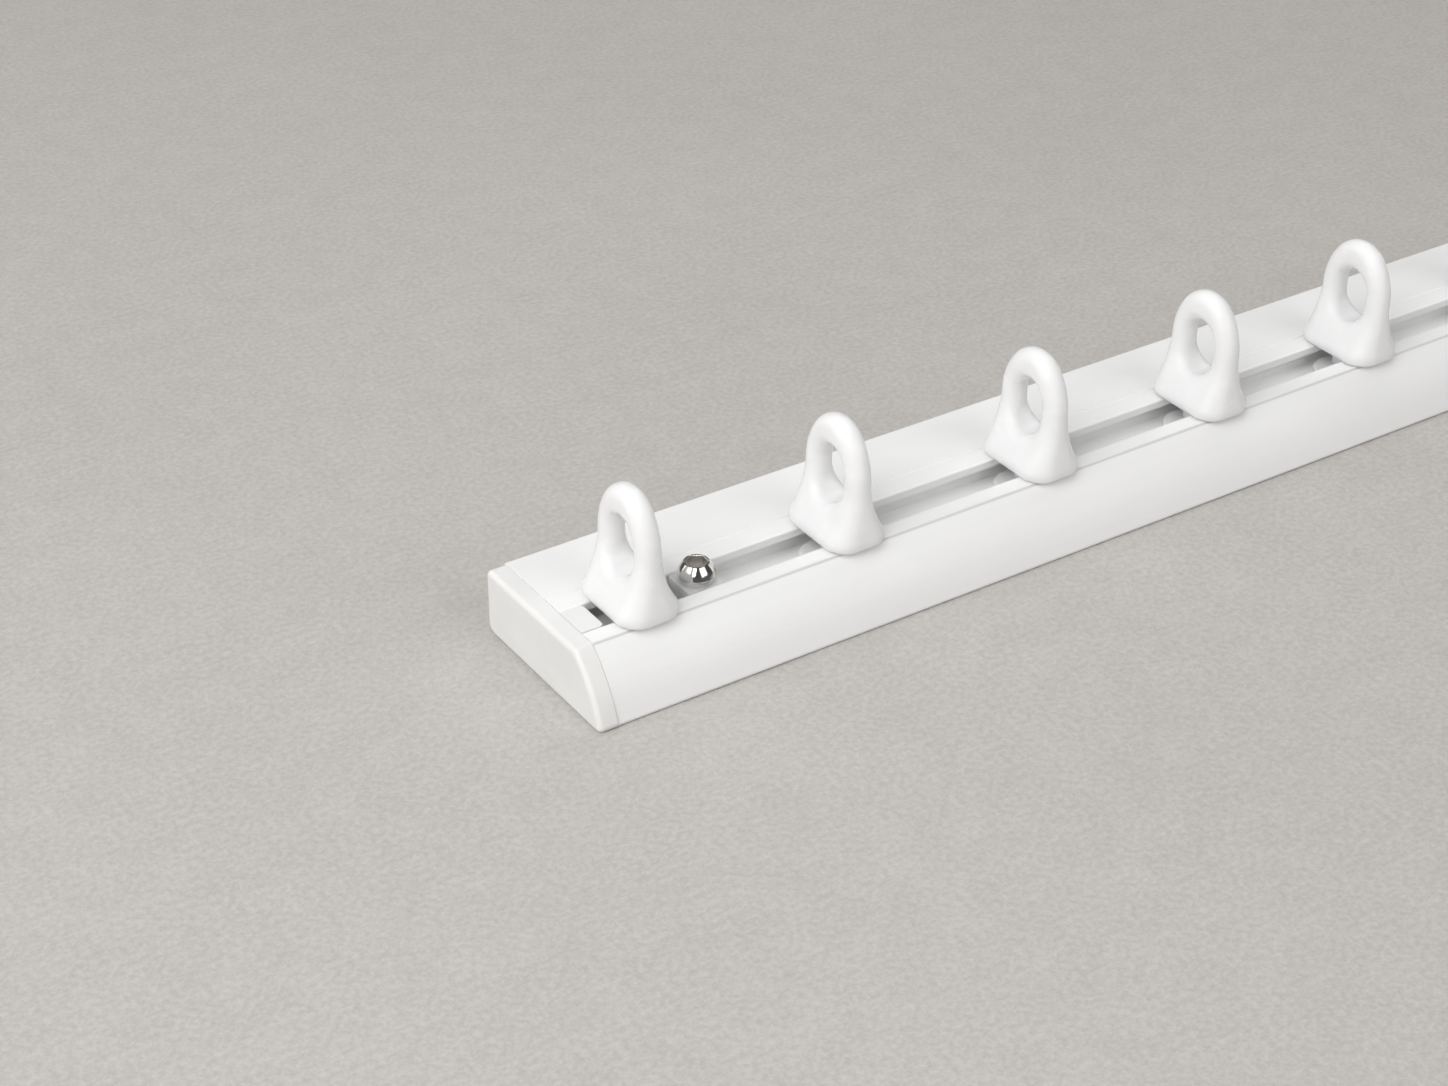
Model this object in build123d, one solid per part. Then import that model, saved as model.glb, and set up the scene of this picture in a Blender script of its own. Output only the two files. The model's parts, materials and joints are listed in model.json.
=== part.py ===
"""Surface-mounted curtain track: a white extruded rail with end caps, eye gliders and clamped end stops.

The rail lies on its mount face with the glider slot facing up. X runs along the rail, the curved front
looks towards -Y, and Z = 0 is the mount face.
"""
from build123d import *
import os

# Rail: an extrusion with a flat back, a flat slotted top and a curved front
track_length = 600.0
track_width = 35.0
track_height = 12.1
wall = 1.3
front_radius = 22.0
foot_edge_round = 2.0
top_edge_round = 0.5
front_edge_round = 0.6
chamber_round = 0.5
crease_width = 0.45
crease_depth = 0.3
crease_drop = 0.4

# Glider slot, the strips beside it and the race behind its lips
slot_width = 7.0
slot_offset = 3.5
lip_thickness = 1.5
lip_edge_round = 0.35
back_strip = 4.05
front_strip = 3.1
race_height = 3.7
race_clearance = 1.2

# Groove in the mount face for turn-in ceiling clips
clip_mouth = 8.0

# End caps
cap_thickness = 3.6
cap_proud = 0.5
cap_drop = 0.15
cap_edge_round = 0.9
cap_corner_round = 1.0
seam_bevel = 0.2
plug_length = 9.0
plug_clearance = 0.15
lug_length = 4.1
lug_drop = 0.05
lug_corner_round = 0.8

# Gliders: one moulding each, with an eye, a flared base, a neck in the slot and a foot under the lips
eye_width = 15.2
eye_bar = 4.3
bar_flat = 0.15
eye_hole_height = 10.2
eye_hole_drop = 0.5
eye_rise = 11.75
shoulder_width = 9.8
shoulder_rise = 7.7
base_length = 11.3
base_width = 17.0
base_corner = 4.0
base_rim = 1.6
base_lift = 0.15
base_round = 0.8
flare_steps = 4
flare_blend = 2.0
neck_length = 3.6
neck_clearance = 0.6
neck_round = 1.6
foot_length = 13.0
foot_hold = 1.2
foot_thickness = 1.2
foot_bevel = 0.35
foot_lift = 0.3
glider_shift = 0.3
first_glider_gap = 0.3
glider_places = (51.4, 92.9, 132.0, 169.2)
glider_pitch = 39.3
glider_spare = 10.0

# End stops: a block under the lips, clamped by a domed screw that bears on the race floor
stop_distance = 23.75
stop_length = 6.8
stop_clearance = 0.15
stop_drop = 0.25
stop_flange = 2.6
stop_round = 0.5
screw_shank = 4.0
screw_point = 0.5
thread_clearance = 0.05
screw_head = 6.65
screw_head_height = 3.45
screw_skirt_height = 1.2
screw_skirt_inset = 0.5
screw_rim = 0.5
screw_crown = 4.8
screw_socket = 3.9
screw_socket_depth = 2.0

# Places worked out from the sizes above
seam_x = -track_length / 2
front_y = (cap_proud - track_width) / 2
back_y = front_y + track_width
slot_y = front_y + track_width / 2 - slot_offset
slot_back = slot_y + slot_width / 2
slot_front = slot_y - slot_width / 2
curve_y = slot_front - front_strip
foot_width = slot_width + 2 * foot_hold
race_width = foot_width + 2 * race_clearance
race_top = track_height - lip_thickness
race_floor = race_top - race_height
rib_back = slot_y + race_width / 2 + wall
rib_front = slot_y - race_width / 2 - wall
glider_y = slot_y - glider_shift
base_bottom = track_height + base_lift
rim_z = base_bottom + base_rim
eye_z = track_height + eye_rise
hole_z = eye_z - eye_hole_drop
eye_hole_width = eye_width - 2 * eye_bar
bar_round = eye_bar / 2 - bar_flat
foot_bottom = race_floor + foot_lift
stop_top = track_height - stop_drop
touch = 0.001
first_glider = lug_length + first_glider_gap + foot_length / 2
last_glider = track_length - stop_distance - stop_length / 2 - foot_length / 2 - glider_spare


# Sections lie flat with Y across the page and Z up it, and along_rail stands them up across the rail
def along_rail(face, start, length):
    return extrude(Plane.YZ.offset(start) * face, length)


def block(y_low, y_high, z_low, z_high):
    corner = (Align.MIN, Align.MIN)
    return Pos(y_low, z_low) * Rectangle(y_high - y_low, z_high - z_low, align=corner)


def corners(face, *places):
    """The face's corners nearest to the given places."""
    return [face.vertices().sort_by_distance((*place, 0))[0] for place in places]


def front_curve(front, top):
    """The curved front in section, from the strip's edge down to the mount face."""
    return RadiusArc((curve_y, top), (front, 0), -front_radius)


def outline(proud, drop):
    """Outer shape of the rail, or of a cap that stands proud at the front and drops below the top."""
    top = track_height - drop
    front = front_y - proud
    shape = [
        Line((front, 0), (back_y, 0)),
        Line((back_y, 0), (back_y, top)),
        Line((back_y, top), (curve_y, top)),
        front_curve(front, top),
    ]
    return make_face(Wire(shape))


def race(gap):
    """Slot and race together, narrowed by the gap on each side."""
    half_race = race_width / 2 - gap
    half_slot = slot_width / 2 - gap
    channel = block(slot_y - half_race, slot_y + half_race, race_floor + gap, race_top - gap)
    mouth = block(slot_y - half_slot, slot_y + half_slot, race_floor + gap, track_height - lug_drop)
    return channel + mouth


def chambers(gap):
    """Hollow behind the race and hollow under the curved front, each narrowed by the gap."""
    hollow = offset(outline(0, 0), -wall)
    behind = hollow & block(rib_back, back_y, 0, track_height)
    under_front = hollow & block(front_y, rib_front, 0, track_height)
    return [offset(fillet(room.vertices(), chamber_round), -gap) for room in (behind, under_front)]


def crease(y, z):
    """Cut of a fine groove whose middle lies on the surface at the given place."""
    half = crease_width / 2
    points = [(y - half, track_height), (y + half, track_height), (y, z - crease_depth)]
    return make_face(Polyline(*points, close=True))


def clip_groove():
    half_groove = race_width / 2
    half_mouth = clip_mouth / 2
    groove = block(slot_y - half_groove, slot_y + half_groove, wall, race_floor - wall)
    return groove + block(slot_y - half_mouth, slot_y + half_mouth, 0, wall)


def rail():
    face = outline(0, 0)
    face = fillet(corners(face, (back_y, 0)), foot_edge_round)
    face = fillet(corners(face, (back_y, track_height)), top_edge_round)
    face = fillet(corners(face, (front_y, 0)), front_edge_round)
    face -= race(0) + block(slot_front, slot_back, race_top, track_height)
    face = fillet(corners(face, (slot_front, track_height), (slot_back, track_height)), lip_edge_round)
    face -= clip_groove()
    for room in chambers(0):
        face -= room
    curve = front_curve(front_y, track_height)
    below_strip = curve.position_at(crease_drop, position_mode=PositionMode.LENGTH)
    face -= crease(slot_back + back_strip, track_height) + crease(below_strip.X, below_strip.Y)
    return along_rail(face, seam_x, track_length)


def end_cap():
    """Left cap: a rounded plate with plugs for both chambers and a lug that closes the slot."""
    face = outline(cap_proud, cap_drop)
    face = fillet(corners(face, (back_y, 0)), foot_edge_round)
    top = track_height - cap_drop
    face = fillet(corners(face, (back_y, top), (curve_y, top), (front_y, 0)), cap_corner_round)
    plate = along_rail(face, seam_x - cap_thickness, cap_thickness)
    plate = fillet(plate.faces().sort_by(Axis.X)[0].edges(), cap_edge_round)
    plate = chamfer(plate.faces().sort_by(Axis.X)[-1].edges(), seam_bevel)
    lug = along_rail(race(plug_clearance), seam_x, lug_length)
    lug_end = lug.edges().filter_by(Axis.Z).group_by(Axis.X)[-1].sort_by(Axis.Z)[-2:]
    cap = plate + fillet(lug_end, lug_corner_round)
    for room in chambers(plug_clearance):
        cap += along_rail(room, seam_x, plug_length)
    return cap


def climbs(edge):
    """True for an edge that goes up or down, false for a level one."""
    return edge.bounding_box().size.Z > touch


def eye_top():
    """Upper half of the eye, not yet pierced: a crown between two flatter shoulders, rounded all along."""
    half = eye_width / 2
    shoulder = shoulder_width / 2
    shoulder_z = eye_z + shoulder_rise
    right = TangentArc((half, eye_z), (shoulder, shoulder_z), tangent=(0, 1))
    crown = TangentArc((shoulder, shoulder_z), (-shoulder, shoulder_z), tangent=right % 1)
    left = TangentArc((-half, eye_z), (-shoulder, shoulder_z), tangent=(0, 1))
    arch = make_face(Wire([Line((-half, eye_z), (half, eye_z)), right, crown, left]))
    slab = extrude(Plane.YZ * arch, eye_bar / 2, both=True)
    return fillet(slab.edges().filter_by(climbs), bar_round)


def flare_level(share):
    """Level section of the flare, from the base's rim (0) up to the bar of the eye (1)."""
    spread = (1 - share) ** 2
    length = eye_bar + (base_length - eye_bar) * spread
    width = eye_width + (base_width - eye_width) * spread
    corner = bar_round + (base_corner - bar_round) * spread
    return Pos(0, 0, rim_z + (eye_z - rim_z) * share) * RectangleRounded(length, width, corner)


def flared_base():
    """Base of a glider: a low rounded rim that draws in, in a curve, to the bar of the eye."""
    flare = loft([flare_level(step / flare_steps) for step in range(flare_steps + 1)])
    rim = Pos(0, 0, base_bottom) * extrude(RectangleRounded(base_length, base_width, base_corner), base_rim)
    base = flare + rim
    rim_loop = base.edges().filter_by_position(Axis.Z, rim_z - touch, rim_z + touch)
    base = fillet(rim_loop, flare_blend)
    return fillet(base.faces().sort_by(Axis.Z)[0].edges(), base_round)


def glider():
    """One glider over the rail's middle, on the line that the gliders run along."""
    hole = Pos(0, hole_z) * SlotOverall(eye_hole_height, eye_hole_width, rotation=90)
    punch = extrude(Plane.YZ * hole, base_length, both=True)
    body = eye_top() + flared_base() - punch
    hole_rims = [edge for edge in body.edges() if climbs(edge) and punch.distance_to(edge.center()) < touch]
    body = fillet(hole_rims, bar_round)
    neck_width = slot_width - 2 * neck_clearance
    neck_foot = foot_bottom + foot_thickness / 2
    neck = Pos(0, 0, neck_foot) * extrude(
        RectangleRounded(neck_length, neck_width, neck_round), rim_z - neck_foot
    )
    foot = Pos(0, 0, foot_bottom) * extrude(SlotOverall(foot_length, foot_width), foot_thickness)
    levels = foot.edges().group_by(Axis.Z)
    foot = chamfer(levels[0] + levels[-1], foot_bevel)
    return Pos(0, glider_y, 0) * (body + neck + foot)


def stop_block():
    """End stop's block over the rail's middle: a flange under the lips and a neck in the slot."""
    neck_width = slot_width - 2 * stop_clearance
    flange = Pos(0, slot_y, race_top - stop_flange) * extrude(
        RectangleRounded(stop_length, foot_width, stop_round), stop_flange
    )
    neck = Pos(0, slot_y, race_top) * extrude(
        RectangleRounded(stop_length, neck_width, stop_round), stop_top - race_top
    )
    thread = Cylinder(screw_shank / 2 + thread_clearance, track_height)
    return flange + neck - Pos(0, slot_y, race_top) * thread


def stop_screw():
    """Clamp screw on the slot's centre line: domed socket head with a bevelled skirt, flat point."""
    shank = screw_shank / 2
    skirt_top = stop_top + screw_skirt_height
    rim_top = skirt_top + screw_rim
    crown_z = stop_top + screw_head_height
    head = screw_head / 2
    crown = screw_crown / 2
    profile = [
        Line((0, race_floor), (shank - screw_point, race_floor)),
        Line((shank - screw_point, race_floor), (shank, race_floor + screw_point)),
        Line((shank, race_floor + screw_point), (shank, stop_top)),
        Line((shank, stop_top), (head - screw_skirt_inset, stop_top)),
        Line((head - screw_skirt_inset, stop_top), (head, skirt_top)),
        Line((head, skirt_top), (head, rim_top)),
        TangentArc((head, rim_top), (crown, crown_z), tangent=(0, 1)),
        Line((crown, crown_z), (0, crown_z)),
        Line((0, crown_z), (0, race_floor)),
    ]
    turned = revolve(Plane.XZ * make_face(Wire(profile)), Axis.Z)
    key = RegularPolygon(screw_socket / 2, 6, major_radius=False)
    socket = Pos(0, 0, crown_z - screw_socket_depth) * extrude(key, screw_socket_depth)
    return Pos(0, slot_y, 0) * (turned - socket)


def glider_line():
    """Distances of all gliders from the left seam: one held behind each stop, the rest between them."""
    places = [first_glider, *glider_places]
    while places[-1] + glider_pitch < last_glider:
        places.append(places[-1] + glider_pitch)
    return [*places, track_length - first_glider]


def write(name, piece):
    export_step(piece, f"parts/{name}.step")


os.makedirs("parts", exist_ok=True)
write("rail", rail())
left_cap = end_cap()
write("end_cap_left", left_cap)
write("end_cap_right", mirror(left_cap, Plane.YZ))
for side, stop_x in (("left", seam_x + stop_distance), ("right", -seam_x - stop_distance)):
    write(f"stop_block_{side}", Pos(stop_x, 0, 0) * stop_block())
    write(f"stop_screw_{side}", Pos(stop_x, 0, 0) * stop_screw())
one_glider = glider()
for number, place in enumerate(glider_line(), start=1):
    write(f"glider_{number:02d}", Pos(seam_x + place, 0, 0) * one_glider)
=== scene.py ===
import json
import math

import bmesh
import bpy
from mathutils import Matrix, Vector


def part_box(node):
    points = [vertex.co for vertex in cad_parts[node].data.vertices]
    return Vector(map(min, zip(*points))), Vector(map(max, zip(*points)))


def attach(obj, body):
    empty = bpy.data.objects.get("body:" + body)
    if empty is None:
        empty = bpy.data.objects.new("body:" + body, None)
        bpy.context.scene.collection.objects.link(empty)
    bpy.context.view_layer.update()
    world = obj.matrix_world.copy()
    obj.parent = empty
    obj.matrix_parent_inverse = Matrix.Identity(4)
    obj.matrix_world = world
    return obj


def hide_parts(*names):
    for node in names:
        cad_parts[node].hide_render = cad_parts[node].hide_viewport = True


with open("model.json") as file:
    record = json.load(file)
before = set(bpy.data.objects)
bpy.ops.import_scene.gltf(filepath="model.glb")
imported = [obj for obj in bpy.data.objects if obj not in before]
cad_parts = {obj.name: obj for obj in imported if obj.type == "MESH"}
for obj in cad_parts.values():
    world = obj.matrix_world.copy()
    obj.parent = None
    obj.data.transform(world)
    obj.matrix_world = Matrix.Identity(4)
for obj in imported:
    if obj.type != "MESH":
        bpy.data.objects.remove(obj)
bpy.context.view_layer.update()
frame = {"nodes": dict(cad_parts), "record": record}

MM_PER_METRE = 1000.0

# Camera: its place and clipping in metres, its angles in degrees, its focal length in photo pixels
CAMERA_PLACE = (-0.48272, -0.31724, 0.25757)
CAMERA_HEADING = 56.00
CAMERA_PITCH = 32.43
CAMERA_ROLL = 0.57
FOCAL_PIXELS = 2767.0
PHOTO_WIDTH = 1448
SENSOR_WIDTH = 36.0
CLIP_NEAR = 0.01
CLIP_FAR = 50.0

# Studio: the middle of the lit stretch of track and the floor, in metres, and the tones around them
LIT_PLACE = Vector((-0.21, 0.0, 0.012))
FLOOR_HALF = 3.0
BACKDROP_TONE = (0.11, 0.108, 0.105, 1.0)
CEILING_TONE = (0.07, 0.07, 0.07, 1.0)
CEILING_BAND = (0.12, 0.40)

# Soft boxes: heading and elevation in degrees, distance, width and height in metres, power in watts
SOFT_BOXES = {
    "main_box": (206.0, 46.0, 1.2, 0.80, 1.00, 10.2),
    "left_box": (160.0, 27.0, 1.0, 1.00, 0.80, 3.2),
    "right_box": (285.0, 38.0, 1.2, 0.80, 0.90, 4.3),
    "back_box": (50.0, 62.0, 1.1, 1.00, 1.00, 3.7),
}

# Clamp screw, in millimetres: shank and crown are radii, and drops are measured down from the crown
SCREW_SHANK = 2.0
SCREW_POINT = 0.5
SCREW_SEAT_DROP = 3.45
SCREW_SKIRT_INSET = 0.5
SCREW_EDGE_DROP = 2.00
SCREW_EDGE_ROUND = 0.09
SCREW_INSET_UNDER_EDGE = 0.027
SCREW_INSET_OVER_EDGE = 0.036
SCREW_CROWN = 2.14
SCREW_BULGE = 0.14
SOCKET_FLATS = 3.5
SOCKET_DEPTH = 2.0
SOCKET_CHAMFER = 0.10

# How finely a screw is turned, and the angle in degrees from which its edges are crisp
TURN_STEPS = 96
CONE_STEPS = 8
CRISP_ANGLE = 28.0

# Grain in the screw's socket: the head's width and the socket's rim in millimetres, the share of the
# screw's height where the socket starts, and how level a face is when the grain ends
HEAD_WIDTH = 6.65
SOCKET_RIM = (2.05, 2.09)
SOCKET_START = (0.55, 0.60)
LEVEL_FACE = (0.5, 0.8)

# Creases along the rail, in millimetres: places across it, how far the painted shade in them reaches to each
# side, and the heights between which it sets in
FRONT_CREASE = -10.157
FRONT_CREASE_REACH = (0.10, 0.24)
BACK_CREASE = 4.30
BACK_CREASE_REACH = (0.10, 0.26)
BACK_CREASE_SHARE = 0.45
CREASE_HEIGHT = (11.2, 11.5)

# Patterns: how much they are drawn out each way, the bands of their values over which tones turn into
# each other, and the parting line's reach as a share of the glider
DRAWN_LINES = (0.006, 2.4, 2.4)
LONG_CLOUDS = (0.025, 0.10, 0.10)
TURNED_HAIRLINES = (0.4, 0.4, 14.0)
NARROW_BAND = (0.35, 0.65)
WIDE_BAND = (0.3, 0.7)
PARTING_REACH = (0.004, 0.012)

# Tones of the finishes
COAT_DEEP = (0.880, 0.878, 0.872, 1.0)
COAT_LIGHT = (0.902, 0.900, 0.895, 1.0)
# painted shade: the grey laid into the rail's creases
CREASE_SHADE_TONE = (0.75, 0.75, 0.745, 1.0)
CAP_DEEP = (0.805, 0.800, 0.785, 1.0)
CAP_LIGHT = (0.835, 0.832, 0.818, 1.0)
NYLON_DEEP = (0.845, 0.845, 0.845, 1.0)
NYLON_LIGHT = (0.872, 0.872, 0.872, 1.0)
RESIN_DEEP = (0.82, 0.83, 0.83, 1.0)
RESIN_LIGHT = (0.88, 0.89, 0.89, 1.0)
PLATING_DEEP = (0.70, 0.69, 0.67, 1.0)
PLATING_LIGHT = (0.80, 0.79, 0.77, 1.0)
SOCKET_TONE = (0.42, 0.38, 0.34, 1.0)
FLOOR_DEEP = (0.440, 0.420, 0.398, 1.0)
FLOOR_LIGHT = (0.575, 0.552, 0.526, 1.0)


class Wire:
    """A socket of a finish that is being made. Arithmetic on it adds the Math nodes."""

    def __init__(self, finish, socket):
        self.finish = finish
        self.socket = socket

    def math(self, operation, *values):
        return self.finish.node("ShaderNodeMath", {"operation": operation}, dict(enumerate(values)))

    def __add__(self, other):
        return self.math("ADD", self, other)

    def __radd__(self, other):
        return self.math("ADD", other, self)

    def __sub__(self, other):
        return self.math("SUBTRACT", self, other)

    def __rsub__(self, other):
        return self.math("SUBTRACT", other, self)

    def __mul__(self, other):
        return self.math("MULTIPLY", self, other)

    def __rmul__(self, other):
        return self.math("MULTIPLY", other, self)

    def __pow__(self, other):
        return self.math("POWER", self, other)

    def __rpow__(self, other):
        return self.math("POWER", other, self)

    def __abs__(self):
        return self.math("ABSOLUTE", self)


class Finish:
    """The node tree of one material or of the world."""

    def __init__(self, owner):
        self.owner = owner
        owner.use_nodes = True
        self.tree = owner.node_tree
        self.tree.nodes.clear()

    def node(self, kind, settings=None, sockets=None, output=0):
        """Adds a node: its settings first, then the values or links of its sockets."""
        made = self.tree.nodes.new(kind)
        for name, value in (settings or {}).items():
            setattr(made, name, value)
        for name, value in (sockets or {}).items():
            if isinstance(value, Wire):
                self.tree.links.new(value.socket, made.inputs[name])
            else:
                made.inputs[name].default_value = value
        return Wire(self, made.outputs[output]) if len(made.outputs) else None

    def place(self):
        """Where a point of the piece is, in millimetres."""
        at = self.node("ShaderNodeTexCoord", output="Object")
        return self.node("ShaderNodeVectorMath", {"operation": "SCALE"}, {0: at, "Scale": MM_PER_METRE})

    def share(self):
        """Where a point is in the piece's own box, from 0 to 1 each way. For the world, a direction."""
        return self.node("ShaderNodeTexCoord", output="Generated")

    def times(self, vector, factors):
        return self.node("ShaderNodeVectorMath", {"operation": "MULTIPLY"}, {0: vector, 1: factors})

    def axis(self, vector, letter):
        return self.node("ShaderNodeSeparateXYZ", sockets={0: vector}, output=letter)

    def noise(self, vector, scale=1.0, detail=3.0, roughness=0.5):
        sockets = {"Vector": vector, "Scale": scale, "Detail": detail, "Roughness": roughness}
        return self.node("ShaderNodeTexNoise", sockets=sockets)

    def step(self, value, low, high):
        sockets = {"Value": value, "From Min": low, "From Max": high}
        return self.node("ShaderNodeMapRange", {"interpolation_type": "SMOOTHSTEP"}, sockets)

    def mix(self, factor, first, second):
        return self.node("ShaderNodeMix", {"data_type": "RGBA"}, {0: factor, 6: first, 7: second}, output=2)

    def mottle(self, pattern, band, deep, light):
        """Two tones that turn into each other over a band of a pattern's values."""
        return self.mix(self.step(pattern, *band), deep, light)

    def bump(self, height, depth_mm):
        return self.node("ShaderNodeBump", sockets={"Height": height, "Distance": depth_mm / MM_PER_METRE})

    def skin(self, sockets):
        """Ends a material in one Principled shader."""
        shader = self.node("ShaderNodeBsdfPrincipled", sockets=sockets)
        self.node("ShaderNodeOutputMaterial", sockets={"Surface": shader})
        return self.owner


def new_finish(name):
    return Finish(bpy.data.materials.new(name))


def soaked(weight, depth_mm):
    """Sockets of a moulding that light soaks into, all colours equally deep."""
    return {
        "Subsurface Weight": weight,
        "Subsurface Radius": (1.0, 1.0, 1.0),
        "Subsurface Scale": depth_mm / MM_PER_METRE,
    }


def white_coat():
    """Powder coat on the rail: fine orange peel over faint drawn lines, with painted shade greying the
    creases.
    """
    f = new_finish("white_coat")
    at = f.place()
    peel = f.noise(at, scale=1.3, detail=2.0)
    drawn = f.noise(f.times(at, DRAWN_LINES))
    cloud = f.noise(f.times(at, LONG_CLOUDS))
    coat = f.mottle(0.65 * cloud + 0.35 * drawn, NARROW_BAND, COAT_DEEP, COAT_LIGHT)
    across = f.axis(at, "Y")
    # painted shade: the coat turns grey in the front crease, and more faintly in the back crease, near the
    # top where shade falls
    front_crease_shade = 1 - f.step(abs(across - FRONT_CREASE), *FRONT_CREASE_REACH)
    back_crease_shade = 1 - f.step(abs(across - BACK_CREASE), *BACK_CREASE_REACH)
    near_top = f.step(f.axis(at, "Z"), *CREASE_HEIGHT)
    painted_crease_shade = (front_crease_shade + BACK_CREASE_SHARE * back_crease_shade) * near_top
    return f.skin({
        "Base Color": f.mix(painted_crease_shade, coat, CREASE_SHADE_TONE),
        "Roughness": 0.30 + 0.10 * cloud + 0.06 * drawn,
        "Normal": f.bump(0.85 * peel + 0.15 * drawn, depth_mm=0.007),
        "Specular IOR Level": 0.45,
    })


def cap_moulding():
    """Moulded end caps: a fine spark-eroded grain, a little duller and warmer than the rail."""
    f = new_finish("cap_moulding")
    at = f.place()
    grain = f.noise(at, scale=5.0)
    flow = f.noise(at, scale=0.16)
    return f.skin({
        "Base Color": f.mottle(0.7 * flow + 0.3 * grain, NARROW_BAND, CAP_DEEP, CAP_LIGHT),
        "Roughness": 0.42 + 0.12 * flow + 0.08 * grain,
        "Normal": f.bump(grain, depth_mm=0.012),
        **soaked(weight=0.06, depth_mm=1.0),
    })


def milky_nylon():
    """Moulded gliders: milky, a little see-through, with a parting line round the eye."""
    f = new_finish("milky_nylon")
    at = f.place()
    flow = f.noise(at, scale=0.22)
    fine = f.noise(at, scale=2.6, detail=2.0)
    off_middle = abs(f.axis(f.share(), "X") - 0.5)
    parting = 1 - f.step(off_middle, *PARTING_REACH)
    nylon = f.mottle(0.8 * flow + 0.2 * fine, NARROW_BAND, NYLON_DEEP, NYLON_LIGHT)
    return f.skin({
        "Base Color": f.mix(0.25 * parting, nylon, NYLON_DEEP),
        "Roughness": 0.20 + 0.08 * flow + 0.04 * fine,
        "Normal": f.bump(0.35 * fine + parting, depth_mm=0.008),
        "Specular IOR Level": 0.2,
        "Coat Weight": 0.10,
        "Coat Roughness": 0.09,
        **soaked(weight=0.9, depth_mm=4.0),
    })


def grey_resin():
    """End-stop blocks: grey, cloudy and partly see-through."""
    f = new_finish("grey_resin")
    at = f.place()
    cloud = f.noise(at, scale=0.45)
    fine = f.noise(at, scale=3.5, detail=2.0)
    return f.skin({
        "Base Color": f.mottle(cloud, WIDE_BAND, RESIN_DEEP, RESIN_LIGHT),
        "Roughness": 0.26 + 0.14 * cloud,
        "Normal": f.bump(fine, depth_mm=0.015),
        **soaked(weight=0.8, depth_mm=4.0),
    })


def bright_plating():
    """Clamp screws: bright plating with hairlines turned round the head, grainy and brown in the socket."""
    f = new_finish("bright_plating")
    at = f.place()
    share = f.share()
    across = f.axis(share, "X") - 0.5
    along = f.axis(share, "Y") - 0.5
    radius = HEAD_WIDTH * (across * across + along * along) ** 0.5
    inside_rim = 1 - f.step(radius, *SOCKET_RIM)
    above_start = f.step(f.axis(share, "Z"), *SOCKET_START)
    normal = f.node("ShaderNodeNewGeometry", output="Normal")
    upright = 1 - f.step(abs(f.axis(normal, "Z")), *LEVEL_FACE)
    socket = inside_rim * above_start * upright
    grain = f.noise(at, scale=9.0)
    hairlines = f.noise(f.times(at, TURNED_HAIRLINES))
    cloud = f.noise(at, scale=0.8, detail=2.0)
    plating = f.mottle(cloud, WIDE_BAND, PLATING_DEEP, PLATING_LIGHT)
    pitted = f.mottle(grain, NARROW_BAND, SOCKET_TONE, PLATING_DEEP)
    return f.skin({
        "Base Color": f.mix(socket, plating, pitted),
        "Metallic": 1.0,
        "Roughness": 0.07 + 0.05 * hairlines + 0.25 * socket,
        "Normal": f.bump(0.3 * hairlines + socket * grain, depth_mm=0.02),
    })


def floor_paint():
    """Pale studio floor."""
    f = new_finish("floor_paint")
    at = f.place()
    cloud = f.noise(at, scale=0.012)
    blot = f.noise(at, scale=0.14, detail=4.0)
    grit = f.noise(at, scale=0.9, detail=4.0, roughness=0.75)
    speckle = 0.1 * cloud + 0.15 * blot + 0.75 * grit
    return f.skin({
        "Base Color": f.mottle(speckle, WIDE_BAND, FLOOR_DEEP, FLOOR_LIGHT),
        "Roughness": 0.72 + 0.15 * grit,
        "Normal": f.bump(grit, depth_mm=0.04),
    })


def dress_nodes():
    """Gives every CAD node the finish of its record slot."""
    finishes = {
        "rail": white_coat(),
        "cap": cap_moulding(),
        "glider": milky_nylon(),
        "stop": grey_resin(),
        "screw": bright_plating(),
    }
    for part in frame["record"]["subparts"]:
        mesh = frame["nodes"][part["node"]].data
        mesh.materials.clear()
        mesh.materials.append(finishes[part["material_slot"]])


def add_object(name, data):
    made = bpy.data.objects.new(name, data)
    bpy.context.collection.objects.link(made)
    return made


def screw_profile(radius, length):
    """Radius and height of the turned rings, from the point up to the crown, in millimetres."""
    seat = length - SCREW_SEAT_DROP
    edge = length - SCREW_EDGE_DROP
    rings = [
        (SCREW_SHANK - SCREW_POINT, 0.0),
        (SCREW_SHANK, SCREW_POINT),
        (SCREW_SHANK, seat),
        (radius - SCREW_SKIRT_INSET, seat),
        (radius - SCREW_INSET_UNDER_EDGE, edge - SCREW_EDGE_ROUND),
        (radius, edge),
    ]
    foot = radius - SCREW_INSET_OVER_EDGE
    low = edge + SCREW_EDGE_ROUND
    for step in range(CONE_STEPS + 1):
        t = step / CONE_STEPS
        swell = SCREW_BULGE * math.sin(math.pi * t)
        rings.append((foot + (SCREW_CROWN - foot) * t + swell, low + (length - low) * t))
    return rings


def socket_radius(angle):
    """Distance from the middle to the side of the hexagon socket, in millimetres."""
    sixth = math.pi / 3
    return SOCKET_FLATS / 2 / math.cos((angle + sixth / 2) % sixth - sixth / 2)


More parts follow.
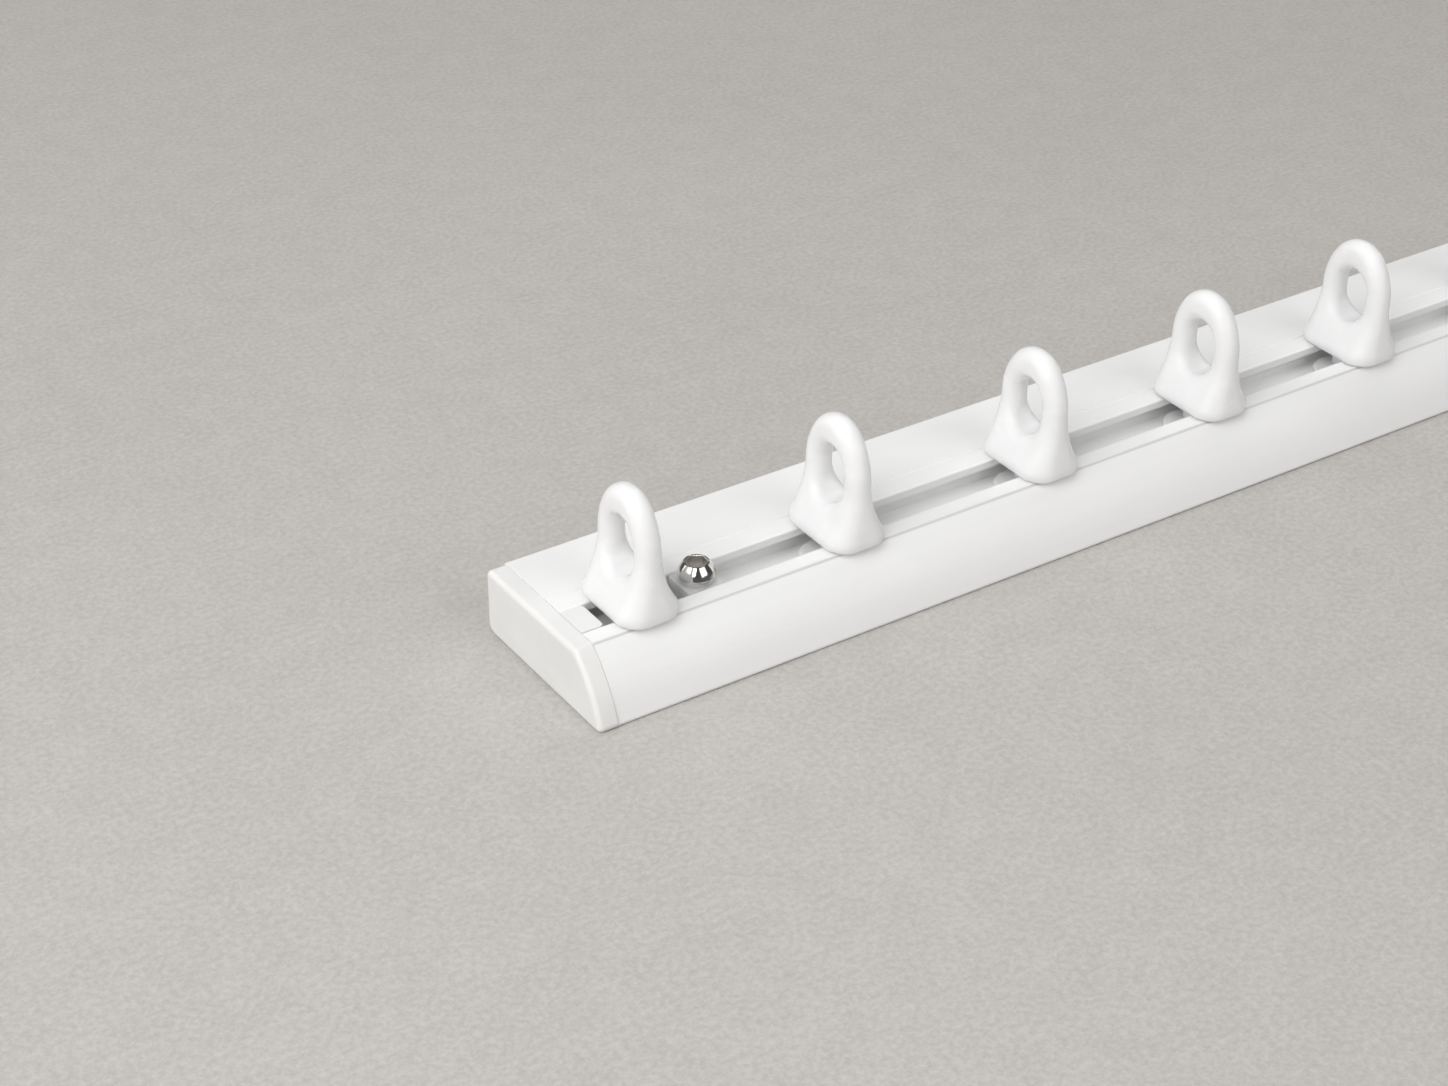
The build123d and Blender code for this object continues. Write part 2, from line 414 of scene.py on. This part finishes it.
def turned_screw(name, node):
    """Clamp screw: flat point, shank, bevelled skirt, conical head with a crisp edge and a hexagon socket."""
    low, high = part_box(node)
    middle_x, middle_y = (low[0] + high[0]) / 2, (low[1] + high[1]) / 2
    radius = MM_PER_METRE * (high[0] - low[0]) / 2
    length = MM_PER_METRE * (high[2] - low[2])
    angles = [2 * math.pi * k / TURN_STEPS for k in range(TURN_STEPS)]
    solid = bmesh.new()

    def ring(reach, height):
        return [solid.verts.new((
            middle_x + reach(a) * math.cos(a) / MM_PER_METRE,
            middle_y + reach(a) * math.sin(a) / MM_PER_METRE,
            low[2] + height / MM_PER_METRE,
        )) for a in angles]

    rings = [ring(lambda a, r=r: r, z) for r, z in screw_profile(radius, length)]
    rings.append(ring(lambda a: socket_radius(a) + SOCKET_CHAMFER, length))
    rings.append(ring(socket_radius, length - SOCKET_CHAMFER))
    rings.append(ring(socket_radius, length - SOCKET_DEPTH))
    for lower, upper in zip(rings, rings[1:]):
        for k in range(TURN_STEPS):
            n = (k + 1) % TURN_STEPS
            solid.faces.new((lower[k], lower[n], upper[n], upper[k]))
    solid.faces.new(list(reversed(rings[0])))
    solid.faces.new(rings[-1])
    mesh = bpy.data.meshes.new(name)
    solid.to_mesh(mesh)
    solid.free()
    mesh.shade_smooth()
    mesh.set_sharp_from_angle(angle=math.radians(CRISP_ANGLE))
    mesh.materials.append(frame["nodes"][node].data.materials[0])
    screw = add_object(name, mesh)
    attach(screw, "track")
    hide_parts(node)


def make_floor():
    mesh = bpy.data.meshes.new("studio_floor")
    h = FLOOR_HALF
    mesh.from_pydata([(-h, -h, 0), (h, -h, 0), (h, h, 0), (-h, h, 0)], [], [(0, 1, 2, 3)])
    mesh.materials.append(floor_paint())
    floor = add_object("studio_floor", mesh)


def soft_box(name, heading, elevation, distance, width, height, power):
    """An area lamp that looks at the lit place from a compass heading and an elevation."""
    lamp = bpy.data.lights.new(name, "AREA")
    lamp.shape = "RECTANGLE"
    lamp.size = width
    lamp.size_y = height
    lamp.energy = power
    a, e = math.radians(heading), math.radians(elevation)
    back = Vector((math.cos(a) * math.cos(e), math.sin(a) * math.cos(e), math.sin(e)))
    box = add_object(name, lamp)
    box.location = LIT_PLACE + distance * back
    box.rotation_mode = "QUATERNION"
    box.rotation_quaternion = (-back).to_track_quat("-Z", "Y")


def make_lights():
    for name, row in SOFT_BOXES.items():
        soft_box(name, *row)
    world = bpy.data.worlds.new("studio")
    bpy.context.scene.world = world
    f = Finish(world)
    upward = f.axis(f.share(), "Z")
    glow = f.node("ShaderNodeBackground", sockets={
        "Color": f.mottle(upward, CEILING_BAND, BACKDROP_TONE, CEILING_TONE),
    })
    f.node("ShaderNodeOutputWorld", sockets={"Surface": glow})


def make_camera():
    heading, pitch, roll = (math.radians(v) for v in (CAMERA_HEADING, CAMERA_PITCH, CAMERA_ROLL))
    ahead = Vector((math.cos(heading), math.sin(heading), 0))
    level_right = Vector((math.sin(heading), -math.cos(heading), 0))
    up = Vector((0, 0, 1))
    forward = ahead * math.cos(pitch) - up * math.sin(pitch)
    tilted_up = ahead * math.sin(pitch) + up * math.cos(pitch)
    right = level_right * math.cos(roll) + tilted_up * math.sin(roll)
    top = tilted_up * math.cos(roll) - level_right * math.sin(roll)
    lens = bpy.data.cameras.new("camera")
    lens.sensor_fit = "HORIZONTAL"
    lens.sensor_width = SENSOR_WIDTH
    lens.lens = FOCAL_PIXELS / PHOTO_WIDTH * SENSOR_WIDTH
    lens.clip_start = CLIP_NEAR
    lens.clip_end = CLIP_FAR
    camera = add_object("camera", lens)
    turn = Matrix((right, top, -forward)).transposed().to_4x4()
    camera.matrix_world = Matrix.Translation(CAMERA_PLACE) @ turn
    bpy.context.scene.camera = camera


make_camera()
dress_nodes()
for side in ("left", "right"):
    turned_screw(f"clamp_screw_{side}", f"stop_screw_{side}")
make_floor()
make_lights()
bpy.context.scene.view_settings.view_transform = "Standard"
